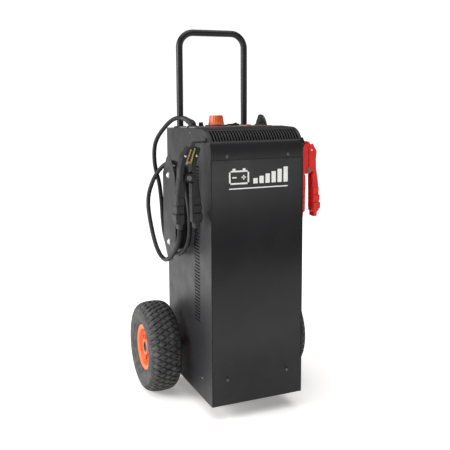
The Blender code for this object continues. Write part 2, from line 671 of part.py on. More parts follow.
def make_lead(side):
    place, direction = gland_start(side)
    start = place + direction * (GLAND_REACH + GAP)
    inner_end, outer_end = -0.0215, 0.02275
    end_u = CLAMP_PIVOT_U + (outer_end if side < 0 else inner_end)
    end = (side * end_u, CLAMP_Y[side], CLAMP_PIVOT_Z - 0.1320 - GAP)
    loop = LEFT_LOOP if side < 0 else RIGHT_LOOP
    straight = 0.008
    route = [start + direction * straight]
    route += [(side * u, y, z) for u, y, z in DOWN_TO_WINDER + ROUND_WINDER + loop]
    route += [(end[0], end[1], end[2] - straight)]
    points = [start, *smooth_route(route, LEAD_STEP), end]
    tube("lead_" + SIDE_NAME[side], points, LEAD_RADIUS, "lead_rubber", 2)


# ---- Inside the cabinet ----
def make_transformer():
    floor = UNDERSIDE + 0.0025 + 2 * GAP
    width, height, stack = 0.085, 0.142, 0.080
    leg, window_low, window_high = 0.0285, 0.0285, 0.1135
    loops = [rectangle(-width, 0, width, height)]
    for side in (-1, 1):
        a, b = sorted((side * leg, side * 2 * leg))
        loops.append(rectangle(a, window_low, b, window_high))
    place = Matrix.Translation((0, TRANSFORMER_Y, floor)) @ PLANE_XZ
    flat("transformer_core", loops, stack, "lamination_steel", place)
    half_x, half_y = leg + 0.0275, stack / 2 + 0.026
    loops = [rectangle(-half_x, -half_y, half_x, half_y),
             rectangle(-leg - 0.0005, -stack / 2 - 0.0005, leg + 0.0005, stack / 2 + 0.0005)]
    coil_height = window_high - window_low - 0.002
    middle_z = floor + (window_low + window_high) / 2
    place = Matrix.Translation((0, TRANSFORMER_Y, middle_z))
    flat("transformer_coil", loops, coil_height, "copper_winding", place)


def make_heatsink():
    back = HALF_D - SHEET - GAP
    outline = [(-0.075, back), (-0.075, back - 0.006)]
    fins = 9
    for i in range(fins):
        middle = -0.070 + 0.0175 * i
        outline += [(middle - 0.0015, back - 0.006), (middle - 0.0015, back - 0.036),
                    (middle + 0.0015, back - 0.036), (middle + 0.0015, back - 0.006)]
    outline += [(0.075, back - 0.006), (0.075, back)]
    flat("rectifier_heatsink", [outline], 0.120, "aluminium", Matrix.Translation((0, 0, 0.360)))


def make_fan():
    back = HALF_D - SHEET - GAP
    depth, half = 0.038, 0.050
    place = Matrix.Translation((0, back - depth / 2, FAN_Z)) @ PLANE_XZ
    frame = flat("fan_frame", [rectangle(-half, -half, half, half), circle(0, 0, 0.0470, 24)], depth,
                 "black_plastic", place)
    strut = box("fan_strut", (-0.0485, back - 0.008, FAN_Z - 0.004), (0.0485, back - 0.001, FAN_Z + 0.004))
    boolean(frame, strut, "UNION")
    motor = cone("fan_motor", 0.019, 0.019, 0.008, None,
                 Matrix.Translation((0, back - 0.010, FAN_Z)) @ AXIS_Y, 20)
    boolean(frame, motor, "UNION")

    hub_front = back - depth + 0.002
    rotor = cone("fan_rotor", 0.020, 0.020, 0.024, "black_plastic",
                 Matrix.Translation((0, hub_front, FAN_Z)) @ AXIS_Y, 24)
    middle_y = hub_front + 0.012
    for i in range(7):
        blade = box(f"fan_blade_{i}", (-0.0110, -0.0010, 0.0170), (0.0110, 0.0010, 0.0440))
        spin = Matrix.Rotation(math.tau * i / 7, 4, "Y") @ Matrix.Rotation(math.radians(35), 4, "Z")
        blade.matrix_world = Matrix.Translation((0, middle_y, FAN_Z)) @ spin
        boolean(rotor, blade, "UNION")


def make_control_board():
    front = -HALF_D + SHEET + GAP
    board_y = front + 0.012
    place = Matrix.Translation((0, board_y, 0.500)) @ PLANE_XZ
    board = flat("control_board", [rectangle(-0.075, -0.060, 0.075, 0.060)], 0.0016, "circuit_board", place)
    for i, (x, z) in enumerate(((-0.068, -0.053), (0.068, -0.053), (-0.068, 0.053), (0.068, 0.053))):
        post = Matrix.Translation((x, front + 0.0002, 0.500 + z)) @ AXIS_Y
        boolean(board, cone(f"board_post_{i}", 0.003, 0.003, 0.0122, None, post, 10), "UNION")
    components = (((-0.060, 0.455), (-0.025, 0.485), 0.018), ((-0.010, 0.455), (0.020, 0.500), 0.026),
                  ((0.035, 0.460), (0.065, 0.475), 0.014), ((-0.055, 0.515), (0.045, 0.540), 0.010))
    for i, ((x0, z0), (x1, z1), height) in enumerate(components):
        component = box(f"board_component_{i}", (x0, board_y, z0), (x1, board_y + height, z1))
        boolean(board, component, "UNION")


def make_mains_inlet():
    profile = [(0.0070, -0.014), (0.0102, -0.014), (0.0102, GAP), (0.0170, GAP), (0.0170, 0.007),
               (0.0130, 0.010), (0.0120, 0.024), (0.0095, 0.027), (0.0070, 0.027)]
    turned("mains_inlet", profile, "black_plastic",
           Matrix.Translation((INLET_X, HALF_D, INLET_Z)) @ AXIS_Y, 16)


def stand_on_floor():
    """Move every piece and cutter so that the floor is z = 0 and the outer box is centred."""
    bpy.context.view_layer.update()
    move = Matrix.Translation((0, -BOX_MIDDLE_Y, -FLOOR))
    for obj in bpy.data.objects:
        obj.matrix_world = move @ obj.matrix_world


clear_scene()
PARTS = make_collection("battery_charger")
CUTTERS = make_collection("cutters")

make_top_cover()
make_front_panel()
make_rear_panel()
make_base_tray()
make_control_panel()
make_controls()
make_handle()
make_axle()
make_transformer()
make_heatsink()
make_fan()
make_control_board()
make_mains_inlet()
for each_side in (-1, 1):
    make_side_panel(each_side)
    make_wheel(each_side)
    make_winder(each_side)
    make_gland(each_side)
    make_lead(each_side)
    make_clamp(each_side, "black_plastic" if each_side < 0 else "red_plastic")
    make_clamp_rest(each_side)

stand_on_floor()
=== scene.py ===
"""Looks of the workshop battery charger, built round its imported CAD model.

Metres, +Z up, front facing -Y, left side -X.
"""
import json
import math

import bmesh
import bpy
from mathutils import Matrix, Vector


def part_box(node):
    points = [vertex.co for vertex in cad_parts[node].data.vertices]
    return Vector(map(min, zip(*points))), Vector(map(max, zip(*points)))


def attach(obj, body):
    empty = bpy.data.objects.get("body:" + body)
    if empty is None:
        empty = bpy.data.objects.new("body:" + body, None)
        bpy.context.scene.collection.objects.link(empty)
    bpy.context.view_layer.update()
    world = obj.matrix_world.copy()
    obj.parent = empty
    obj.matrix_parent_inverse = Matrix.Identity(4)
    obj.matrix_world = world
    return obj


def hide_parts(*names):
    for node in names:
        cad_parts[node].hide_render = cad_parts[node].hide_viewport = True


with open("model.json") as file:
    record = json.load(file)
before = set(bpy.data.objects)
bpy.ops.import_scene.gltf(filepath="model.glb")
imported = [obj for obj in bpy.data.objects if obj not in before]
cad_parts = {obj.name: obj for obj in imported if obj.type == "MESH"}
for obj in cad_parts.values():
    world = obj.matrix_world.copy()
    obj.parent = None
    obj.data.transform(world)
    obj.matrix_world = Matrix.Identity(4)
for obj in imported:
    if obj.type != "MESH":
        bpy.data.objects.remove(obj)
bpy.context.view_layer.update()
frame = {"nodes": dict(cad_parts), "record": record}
NODES = frame["nodes"]
SIDES = {-1: "left", 1: "right"}

# ---- Dimensions repeated from the CAD ----
HALF_W, HALF_D = 0.132, 0.174
SHEET = 0.0015
UNDERSIDE, SEAM = 0.010, 0.6615
COVER_TOP, COVER_REAR, COVER_BREAK = 0.7385, 0.7270, -0.050
COVER_RADIUS = 0.060
SLOPE = math.atan2(COVER_TOP - COVER_REAR, HALF_D - COVER_BREAK)
WHEEL_X, AXLE_Y, AXLE_Z = 0.197, 0.112, 0.096
PLACE = Matrix.Translation((0, -0.034, 0.034))    # from the cabinet's own frame to the part's
WINDER_Y, WINDER_LOW, WINDER_HIGH = 0.040, 0.417, 0.604
CLAMP_U, CLAMP_Z = 0.180, 0.618
CLAMP_Y = {-1: -0.135, 1: -0.105}
CLAMP_HALF = 0.0125
KNOB = (-0.030, 0.040)
GLAND = (0.103, 0.036)
GLAND_TILT = (0.42, 0.80, 0.42)
GLAND_LIFT, GLAND_REACH = 0.0105, 0.022
LEAD_R = 0.006
LEAD_END_OUT = {-1: 0.02275, 1: -0.0215}    # from the clamp's middle to the arm the lead enters
LEAD_END_DROP = 0.1323

# ---- Sizes of the visible model only ----
WELD = 0.00001
SEAM_GAP, EDGE_GAP = 0.0006, 0.0003
INK = 0.0002


# ---- Camera ----
LENS_MM, SENSOR_MM = 58.53, 36.0
SHIFT_X, SHIFT_Y = -0.0556, -0.1000
EYE = (-0.7992, -1.9103, 0.8881)
LOOK_DOWN, HEADING = 0.1309, -0.4277


def make_camera():
    """The camera solved from the photo, moved to a smaller vertical shift."""
    data = bpy.data.cameras.new("camera")
    data.sensor_width = SENSOR_MM
    data.lens = LENS_MM
    data.shift_x = SHIFT_X
    data.shift_y = SHIFT_Y
    camera = bpy.data.objects.new("camera", data)
    bpy.context.scene.collection.objects.link(camera)
    camera.location = EYE
    camera.rotation_euler = (math.pi / 2 - LOOK_DOWN, 0, HEADING)
    bpy.context.scene.camera = camera


make_camera()


# ---- Mesh helpers ----
def add_object(name, data, body, matrix=None, material=None):
    """Put data in the scene, placed in the cabinet's frame and riding on a body."""
    obj = bpy.data.objects.new(name, data)
    bpy.context.scene.collection.objects.link(obj)
    obj.matrix_world = PLACE @ (matrix or Matrix.Identity(4))
    if material:
        data.materials.append(material)
    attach(obj, body)
    return obj


def smooth(mesh, angle=40):
    mesh.shade_smooth()
    mesh.set_sharp_from_angle(angle=math.radians(angle))


def mesh_object(name, bm, body, material, matrix=None):
    mesh = bpy.data.meshes.new(name)
    bmesh.ops.recalc_face_normals(bm, faces=bm.faces)
    bm.to_mesh(mesh)
    bm.free()
    smooth(mesh)
    return add_object(name, mesh, body, matrix, material)


def cover_height(y):
    return COVER_TOP - max(0.0, y - COVER_BREAK) * math.tan(SLOPE)


def on_cover(x, y, lift=0.0):
    """A frame on the sloping top, local Z square to it."""
    tilt = Matrix.Rotation(-SLOPE, 4, "X")
    return Matrix.Translation((x, y, cover_height(y))) @ tilt @ Matrix.Translation((0, 0, lift))


# ---- Leads ----
# Points of each route as (distance from the middle plane, y, z), the same way round on both sides.
DOWN_TO_WINDER = [
    (0.1220, 0.072, 0.7585), (0.1350, 0.088, 0.7570), (0.1480, 0.102, 0.7460),
    (0.1600, 0.116, 0.7280), (0.1710, 0.129, 0.7080), (0.1780, 0.138, 0.6870),
    (0.1810, 0.142, 0.6630), (0.1790, 0.146, 0.6260), (0.1740, 0.146, 0.5980),
    (0.1680, 0.144, 0.5720), (0.1630, 0.144, 0.5330), (0.1600, 0.145, 0.4970),
    (0.1580, 0.146, 0.4610), (0.1550, 0.140, 0.4190), (0.1520, 0.118, 0.3900),
    (0.1500, 0.085, 0.3770),
]
ROUND_WINDER = [
    (0.1490, 0.045, 0.3780), (0.1500, 0.011, 0.3880), (0.1500, -0.025, 0.4070),
    (0.1490, -0.048, 0.4300), (0.1480, -0.058, 0.4620), (0.1480, -0.055, 0.5100),
    (0.1480, -0.036, 0.5600), (0.1490, -0.008, 0.6050), (0.1500, 0.018, 0.6280),
    (0.1530, 0.045, 0.6370), (0.1580, 0.074, 0.6350), (0.1660, 0.098, 0.6260),
]
LEFT_LOOP = [
    (0.1780, 0.108, 0.6110), (0.1860, 0.117, 0.5950), (0.1920, 0.127, 0.5770),
    (0.2000, 0.139, 0.5410), (0.2040, 0.135, 0.5110), (0.2060, 0.120, 0.4840),
    (0.2070, 0.101, 0.4570), (0.2070, 0.080, 0.4290), (0.2060, 0.054, 0.4020),
    (0.2050, 0.020, 0.3850), (0.2040, -0.020, 0.3820), (0.2040, -0.057, 0.3960),
    (0.2040, -0.093, 0.4180), (0.2040, -0.122, 0.4440), (0.2033, -0.134, 0.4680),
]
RIGHT_LOOP = [
    (0.1760, 0.117, 0.6050), (0.1800, 0.133, 0.5700), (0.1810, 0.140, 0.5250),
    (0.1810, 0.130, 0.4750), (0.1810, 0.106, 0.4330), (0.1810, 0.070, 0.4020),
    (0.1810, 0.030, 0.3860), (0.1800, -0.010, 0.3850), (0.1760, -0.045, 0.3980),
    (0.1690, -0.077, 0.4200), (0.1620, -0.100, 0.4480), (0.1587, -0.105, 0.4680),
]
LEAD_STUB = 0.008    # the straight stretch at each end


def catmull(route, per_span):
    """Points on a centripetal curve through the route's points."""
    route = [Vector(point) for point in route]
    route = [2 * route[0] - route[1]] + route + [2 * route[-1] - route[-2]]
    points = []
    for p0, p1, p2, p3 in zip(route, route[1:], route[2:], route[3:]):
        t1 = (p1 - p0).length ** 0.5
        t2 = t1 + (p2 - p1).length ** 0.5
        t3 = t2 + (p3 - p2).length ** 0.5
        for i in range(per_span):
            t = t1 + (t2 - t1) * i / per_span
            a1, a2 = p0.lerp(p1, t / t1), p1.lerp(p2, (t - t1) / (t2 - t1))
            a3 = p2.lerp(p3, (t - t2) / (t3 - t2))
            b1, b2 = a1.lerp(a2, t / t2), a2.lerp(a3, (t - t1) / (t3 - t1))
            points.append(b1.lerp(b2, (t - t1) / (t2 - t1)))
    points.append(route[-2])
    return points


def gland_start(side):
    """Where the lead's gland stands on the cover, and which way it points."""
    place = Vector((side * GLAND[0], GLAND[1], cover_height(GLAND[1]) + GLAND_LIFT))
    outward, rearward, up = GLAND_TILT
    return place, Vector((side * outward, rearward, up)).normalized()


def lead_points(side):
    """The lead's middle line from its gland, round the winder and into the clamp."""
    place, direction = gland_start(side)
    start = place + direction * (GLAND_REACH + EDGE_GAP)
    end_u = CLAMP_U + LEAD_END_OUT[side]
    end = Vector((side * end_u, CLAMP_Y[side], CLAMP_Z - LEAD_END_DROP))
    route = [start + direction * LEAD_STUB]
    route += [(side * u, y, z) for u, y, z in DOWN_TO_WINDER + ROUND_WINDER]
    route += [(side * u, y, z) for u, y, z in (LEFT_LOOP if side < 0 else RIGHT_LOOP)]
    route += [(end.x, end.y, end.z - LEAD_STUB)]
    return [start, *catmull(route, 4), end]


def make_lead(side):
    name = SIDES[side]
    points = lead_points(side)
    curve = bpy.data.curves.new("cable_" + name, "CURVE")
    curve.dimensions = "3D"
    curve.bevel_depth = LEAD_R
    curve.bevel_resolution = 4
    curve.use_fill_caps = True
    spline = curve.splines.new("POLY")
    spline.points.add(len(points) - 1)
    for point, place in zip(spline.points, points):
        point.co = (*place, 1)
    spline.use_smooth = True
    lead = add_object("cable_" + name, curve, "charger", None, MATERIALS["lead_rubber"])
    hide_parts("lead_" + name)


# ---- Materials ----
DUST_COLOUR = (0.22, 0.20, 0.18)
WORN_EDGE = 0.0012


def surface(name, colour, rough, metal, grain, mottle, spread=0.07, wear=None, coat=0.0, dust=0.0,
            specular=0.5):
    """A node material with fine grain, uneven colour and gloss, dust and rubbed edges.

    grain is the bump's (scale, strength, depth), mottle the patches' (scale, share of the colour),
    spread how far the roughness varies and wear the colour of the rubbed edges.
    """
    material = bpy.data.materials.new(name)
    material.use_nodes = True
    nodes, links = material.node_tree.nodes, material.node_tree.links
    shader = nodes["Principled BSDF"]
    shader.inputs["Metallic"].default_value = metal
    shader.inputs["Coat Weight"].default_value = coat
    shader.inputs["Specular IOR Level"].default_value = specular
    place = nodes.new("ShaderNodeTexCoord").outputs["Object"]

    def noise(scale, detail):
        node = nodes.new("ShaderNodeTexNoise")
        node.inputs["Scale"].default_value = scale
        node.inputs["Detail"].default_value = detail
        links.new(place, node.inputs["Vector"])
        return node.outputs["Fac"]

    def remap(value, low, high, to_low, to_high):
        node = nodes.new("ShaderNodeMapRange")
        limits = {"From Min": low, "From Max": high, "To Min": to_low, "To Max": to_high}
        for key, number in limits.items():
            node.inputs[key].default_value = number
        links.new(value, node.inputs["Value"])
        return node.outputs["Result"]

    def mix(factor, first, second):
        node = nodes.new("ShaderNodeMix")
        node.data_type = "RGBA"
        links.new(factor, node.inputs["Factor"])
        for value, key in ((first, "A"), (second, "B")):
            socket = [i for i in node.inputs if i.name == key and i.type == "RGBA"][0]
            if isinstance(value, tuple):
                socket.default_value = (*value, 1.0)
            else:
                links.new(value, socket)
        return [o for o in node.outputs if o.type == "RGBA"][0]

    patches = noise(mottle[0], 4.0)
    dark = tuple(c * (1 - mottle[1]) for c in colour)
    light = tuple(c * (1 + mottle[1]) for c in colour)
    tone = mix(remap(patches, 0.35, 0.65, 0.0, 1.0), dark, light)
    gloss = remap(noise(mottle[0] * 2.3, 3.0), 0.3, 0.7, rough - spread, rough + spread)
    if dust:
        tone = mix(remap(noise(60.0, 6.0), 0.45, 0.75, 0.0, dust), tone, DUST_COLOUR)
    if wear:
        bevel = nodes.new("ShaderNodeBevel")
        bevel.samples = 4
        bevel.inputs["Radius"].default_value = WORN_EDGE
        dot = nodes.new("ShaderNodeVectorMath")
        dot.operation = "DOT_PRODUCT"
        links.new(bevel.outputs["Normal"], dot.inputs[0])
        links.new(nodes.new("ShaderNodeNewGeometry").outputs["Normal"], dot.inputs[1])
        edge = remap(dot.outputs["Value"], 0.99, 0.80, 0.0, 1.0)
        broken = nodes.new("ShaderNodeMath")
        broken.operation = "MULTIPLY"
        links.new(edge, broken.inputs[0])
        links.new(remap(noise(90.0, 5.0), 0.45, 0.60, 0.0, 0.8), broken.inputs[1])
        tone = mix(broken.outputs["Value"], tone, wear)
    links.new(tone, shader.inputs["Base Color"])
    links.new(gloss, shader.inputs["Roughness"])
    bump = nodes.new("ShaderNodeBump")
    bump.inputs["Strength"].default_value = grain[1]
    bump.inputs["Distance"].default_value = grain[2]
    links.new(noise(grain[0], 3.0), bump.inputs["Height"])
    links.new(bump.outputs["Normal"], shader.inputs["Normal"])
    return material


MATERIALS = {
    "cabinet_paint": surface("cabinet_paint", (0.015, 0.015, 0.0165), 0.42, 0, (900, 0.45, 0.00025),
                             (9, 0.12), 0.05, wear=(0.10, 0.10, 0.105), specular=0.24),
    "panel_label": surface("panel_label", (0.60, 0.60, 0.58), 0.45, 0, (1200, 0.15, 0.0001), (25, 0.05)),
    "handle_paint": surface("handle_paint", (0.015, 0.015, 0.016), 0.34, 0, (800, 0.2, 0.0001),
                            (30, 0.12), 0.06, specular=0.28),
    "tyre": surface("tyre_rubber", (0.040, 0.041, 0.043), 0.78, 0, (500, 0.5, 0.0003),
                    (25, 0.18), 0.08, dust=0.35),
    "black_rubber": surface("black_rubber", (0.026, 0.026, 0.028), 0.72, 0, (600, 0.4, 0.0002),
                            (40, 0.15)),
    "black_plastic": surface("black_plastic", (0.015, 0.015, 0.0165), 0.48, 0, (1500, 0.4, 0.0001),
                             (60, 0.12), specular=0.30),
    "lead_rubber": surface("lead_rubber", (0.013, 0.013, 0.0145), 0.52, 0, (900, 0.25, 0.0001),
                           (50, 0.2), 0.08, specular=0.25),
    "orange_rim": surface("orange_rim", (0.70, 0.120, 0.022), 0.42, 0, (500, 0.3, 0.0002),
                          (35, 0.12), 0.08, coat=0.1),
    "grey_plastic": surface("grey_plastic", (0.13, 0.13, 0.135), 0.55, 0, (900, 0.3, 0.0001),
                            (60, 0.12)),
    "orange_knob": surface("orange_knob", (0.80, 0.125, 0.035), 0.38, 0, (1100, 0.25, 0.0001),
                           (70, 0.07)),
    "clamp_black": surface("clamp_black", (0.016, 0.016, 0.0175), 0.50, 0, (1300, 0.5, 0.00015),
                           (60, 0.15), wear=(0.06, 0.06, 0.06), specular=0.30),
    "clamp_red": surface("clamp_red", (0.76, 0.018, 0.014), 0.42, 0, (1100, 0.25, 0.0001),
                         (45, 0.10), 0.06, coat=0.05, specular=0.30),
    "brass": surface("brass", (0.37, 0.28, 0.12), 0.42, 1, (700, 0.25, 0.0001), (90, 0.25), 0.12),
    "aluminium": surface("aluminium", (0.66, 0.67, 0.68), 0.40, 1, (900, 0.2, 0.0001), (60, 0.08)),
    "lamination_steel": surface("lamination_steel", (0.20, 0.20, 0.22), 0.5, 1, (1500, 0.5, 0.0002),
                                (40, 0.2)),
    "copper_winding": surface("copper_winding", (0.55, 0.23, 0.10), 0.4, 1, (1200, 0.4, 0.0002),
                              (60, 0.2)),
    "circuit_board": surface("circuit_board", (0.02, 0.15, 0.06), 0.5, 0, (1500, 0.2, 0.0001),
                             (90, 0.2)),
    "zinc_steel": surface("zinc_steel", (0.62, 0.62, 0.60), 0.30, 1, (600, 0.2, 0.0001),
                          (120, 0.10), 0.10),
}
BRIGHT_BOLT = surface("bright_bolt", (0.80, 0.80, 0.79), 0.50, 0.35, (600, 0.2, 0.0001), (120, 0.06), 0.08)
SCREW_STEEL = surface("screw_steel", (0.16, 0.16, 0.16), 0.42, 1, (600, 0.2, 0.0001), (120, 0.15), 0.10)
PRINT_GRAIN = (900, 0.1, 0.0001)
WHITE_PRINT = surface("white_print", (0.86, 0.86, 0.85), 0.5, 0, PRINT_GRAIN, (60, 0.03))
RED_PRINT = surface("red_print", (0.70, 0.05, 0.03), 0.45, 0, PRINT_GRAIN, (60, 0.06))
ORANGE_PRINT = surface("orange_print", (0.85, 0.28, 0.04), 0.45, 0, PRINT_GRAIN, (60, 0.06))
DARK_PRINT = surface("dark_print", (0.03, 0.03, 0.032), 0.5, 0, PRINT_GRAIN, (60, 0.06))

for row in frame["record"]["subparts"]:
    node_mesh = NODES[row["node"]].data
    node_mesh.materials.clear()
    dull = row["node"].startswith("clamp_pivot")
    node_mesh.materials.append(SCREW_STEEL if dull else MATERIALS[row["material_slot"]])


# ---- Shapes ----
def bevelled(obj, width, segments=2, angle=35):
    bevel = obj.modifiers.new("edges", "BEVEL")
    bevel.width = width
    bevel.segments = segments
    bevel.limit_method = "ANGLE"
    bevel.angle_limit = math.radians(angle)


def lathe(name, profile, steps, body, slot, matrix, material=None, ripple=None):
    """Turn a closed (radius, height) outline round local Z.

    ripple(angle, radius, height) gives the shift in radius.
    """
    bm = bmesh.new()
    rings = []
    for i in range(steps):
        angle = math.tau * i / steps
        ring = []
        for radius, height in profile:
            r = radius + (ripple(angle, radius, height) if ripple else 0.0)
            ring.append(bm.verts.new((r * math.cos(angle), r * math.sin(angle), height)))
        rings.append(ring)
    count = len(profile)
    for i in range(steps):
        a, b = rings[i], rings[(i + 1) % steps]
        for j in range(count):
            k = (j + 1) % count
            bm.faces.new((a[j], b[j], b[k], a[k]))
    bmesh.ops.remove_doubles(bm, verts=bm.verts, dist=WELD)
    return mesh_object(name, bm, body, material or MATERIALS[slot], matrix)


def plate(name, outline, thickness, body, slot, matrix, material=None):
    """A flat outline in local XY, thickened both ways along local Z."""
    bm = bmesh.new()
    low = [bm.verts.new((a, b, -thickness / 2)) for a, b in outline]
    high = [bm.verts.new((a, b, thickness / 2)) for a, b in outline]
    bm.faces.new(low[::-1])
    bm.faces.new(high)
    for i in range(len(outline)):
        k = (i + 1) % len(outline)
        bm.faces.new((low[i], low[k], high[k], high[i]))
    return mesh_object(name, bm, body, material or MATERIALS[slot], matrix)


def rectangle(x0, y0, x1, y1):
    return [(x0, y0), (x1, y0), (x1, y1), (x0, y1)]


def rounded(outline, radius, steps=4):
    """Round the corners of an outline, by at most the given radius."""
    points = []
    count = len(outline)
    for i in range(count):
        before, here, after = (Vector(outline[(i + k) % count]) for k in (-1, 0, 1))
        a, b = before - here, after - here
        reach = min(radius, a.length * 0.45, b.length * 0.45)
        start, stop = here + a.normalized() * reach, here + b.normalized() * reach
        for j in range(steps + 1):
            t = j / steps
            point = start * (1 - t) ** 2 + here * 2 * t * (1 - t) + stop * t * t
            points.append((point.x, point.y))
    return points


def pipe(name, points, radii, sides, body, slot):
    """A round bar along points whose radius may change on the way."""
    bm = bmesh.new()
    rings = []
    normal = None
    for i, point in enumerate(points):
        ahead = (points[min(i + 1, len(points) - 1)] - points[max(i - 1, 0)]).normalized()
        if normal is None:
            normal = ahead.orthogonal().normalized()
        normal = (normal - ahead * normal.dot(ahead)).normalized()
        other = ahead.cross(normal)
        rings.append([bm.verts.new(point + radii[i] * (math.cos(t) * normal + math.sin(t) * other))
                      for t in (math.tau * k / sides for k in range(sides))])
    for a, b in zip(rings, rings[1:]):
        for k in range(sides):
            m = (k + 1) % sides
            bm.faces.new((a[k], a[m], b[m], b[k]))
    bm.faces.new(rings[0][::-1])
    bm.faces.new(rings[-1])
    return mesh_object(name, bm, body, MATERIALS[slot])


PLANE_XZ = Matrix(((1, 0, 0), (0, 0, -1), (0, 1, 0))).to_4x4()    # stands local XY up, facing the front


# ---- Cabinet ----
SLOT_PITCH, SLOT_COUNT, SLOT_HALF = 0.0080, 31, 0.0020
SLOT_LOW, SLOT_HIGH = math.radians(148), math.radians(112)
SLOT_END = [(1.0, 0.0), (0.87, 0.5), (0.5, 0.87), (0.0, 1.0)]    # its round end: (reach, share of the width)
FOLD_INSET, FOLD_DEPTH, FOLD_RADIUS = 0.0018, 0.018, 0.0022


def skin(name, bm, angle):
    """A painted sheet of the cabinet, thickened inwards from its outer face."""
    mesh = bpy.data.meshes.new(name)
    bm.normal_update()
    bm.to_mesh(mesh)
    bm.free()
    smooth(mesh, angle)
    obj = add_object(name, mesh, "charger", None, MATERIALS["cabinet_paint"])
    sheet = obj.modifiers.new("sheet", "SOLIDIFY")
    sheet.thickness = SHEET
    sheet.offset = -1.0
    return obj


def make_cover():
    """The cover with its row of round-ended slots on the front curve."""
    centre_y, centre_z = -HALF_D + COVER_RADIUS, COVER_TOP - COVER_RADIUS
    turn = SLOT_HALF / COVER_RADIUS
    rows = [(math.radians(a), None) for a in (180, 171, 163, 156)]
    rows += [(SLOT_LOW + turn * reach, share) for reach, share in SLOT_END]
    rows += [(SLOT_LOW - (SLOT_LOW - SLOT_HIGH) * i / 6, 1.0) for i in range(1, 6)]
    rows += [(SLOT_HIGH - turn * reach, share) for reach, share in SLOT_END[::-1]]
    rows += [(math.radians(a), None) for a in (106, 101, 96, 90)]
    lines = [(-HALF_D, SEAM + SEAM_GAP, None)]
    lines += [(centre_y + COVER_RADIUS * math.cos(a), centre_z + COVER_RADIUS * math.sin(a), share)
              for a, share in rows]
    lines += [(COVER_BREAK, COVER_TOP, None), (HALF_D, COVER_REAR, None)]
    bm = bmesh.new()
    grid = []
    for y, z, share in lines:
        half = SLOT_HALF * (1.0 if share is None else share)
        xs = [-HALF_W]
        for i in range(SLOT_COUNT):
            centre = (i - (SLOT_COUNT - 1) / 2) * SLOT_PITCH
            xs += [centre - half, centre + half]
        xs.append(HALF_W)
        grid.append([bm.verts.new((x, y, z)) for x in xs])
    for (a, b), (first, second) in zip(zip(grid, grid[1:]), zip(lines, lines[1:])):
        open_here = first[2] is not None and second[2] is not None
        for j in range(len(a) - 1):
            if not (open_here and j % 2 == 1):
                bm.faces.new((a[j], a[j + 1], b[j + 1], b[j]))
    bmesh.ops.remove_doubles(bm, verts=bm.verts, dist=WELD)
    cover = skin("cover_skin", bm, 30)
    bevelled(cover, 0.0004, 2, 50)
    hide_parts("top_cover")


def make_front():
    """The front panel, folded back at both sides on a small radius."""
    half, back = HALF_W - FOLD_INSET, -HALF_D + FOLD_DEPTH
    path = [(half, back)]
    for i in range(7):
        angle = -math.pi / 2 * i / 6
        path.append((half - FOLD_RADIUS + FOLD_RADIUS * math.cos(angle),
                     -HALF_D + FOLD_RADIUS + FOLD_RADIUS * math.sin(angle)))
    path += [(-x, y) for x, y in path[::-1]]
    bm = bmesh.new()
    bottom = [bm.verts.new((x, y, UNDERSIDE + EDGE_GAP)) for x, y in path]
    top = [bm.verts.new((x, y, SEAM - EDGE_GAP)) for x, y in path]
    for i in range(len(path) - 1):
        bm.faces.new((bottom[i + 1], bottom[i], top[i], top[i + 1]))
    front = skin("front_skin", bm, 60)
    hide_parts("front_panel")


SCREW_R, SIDE_SCREW_R = 0.0040, 0.0034
SCREW_HEAD = [(0.0, 0.55), (0.5, 0.50), (0.85, 0.30), (1.0, 0.05), (1.0, 0.0), (0.0, 0.0)]
FRONT_SCREWS = [(-0.087, 0.671), (0.087, 0.671), (-0.087, 0.079), (0.087, 0.079)]
REAR_SCREWS = [(-0.10875, 0.700), (0.10875, 0.700), (-0.10875, 0.140), (0.10875, 0.140)]
SIDE_SCREWS = [(0.164, 0.695), (-0.024, 0.724), (0.164, 0.260), (-0.101, 0.065)]
WASHER = [(0.0, 0), (0.0085, 0), (0.0085, 0.0012), (0.0, 0.0012)]
BOLT = [(0.0, 0.0012), (0.0060, 0.0012), (0.0060, 0.0030), (0.0052, 0.0045), (0.0030, 0.0056),
        (0.0, 0.0060)]


def screw(name, matrix, radius=SCREW_R, slot="zinc_steel"):
    """A pan-head screw standing on local Z, its cross recess drawn as a thin black cross laid on the head:
    painted shade, not a hollow.
    """
    head = [(radius * across, radius * up) for across, up in SCREW_HEAD]
    lathe(name, head, 24, "charger", slot, matrix, SCREW_STEEL)
    # The black cross plates are painted shade standing in for the dark inside a cross recess; the head has no
    # hollow.
    lift = Matrix.Translation((0, 0, radius * 0.56))
    arm, width = radius * 0.55, radius * 0.10
    for i in range(2):
        turn = Matrix.Rotation(math.pi / 4 + i * math.pi / 2, 4, "Z")
        plate(f"{name}_cross_{i}", rectangle(-arm, -width, arm, width), radius * 0.05, "charger",
              "black_plastic", matrix @ lift @ turn)


def make_screws():
    front, rear = (Matrix.Rotation(turn * math.pi / 2, 4, "X") for turn in (1, -1))
    for i, ((x, z), (rear_x, rear_z)) in enumerate(zip(FRONT_SCREWS, REAR_SCREWS)):
        screw(f"front_screw_{i}", Matrix.Translation((x, -HALF_D, z)) @ front)
        screw(f"rear_screw_{i}", Matrix.Translation((rear_x, HALF_D, rear_z)) @ rear)
    for side in (-1, 1):
        outward = Matrix.Rotation(side * math.pi / 2, 4, "Y")
        for i, (y, z) in enumerate(SIDE_SCREWS):
            screw(f"side_screw_{SIDES[side]}_{i}", Matrix.Translation((side * HALF_W, y, z)) @ outward,
                  SIDE_SCREW_R, "black_plastic")


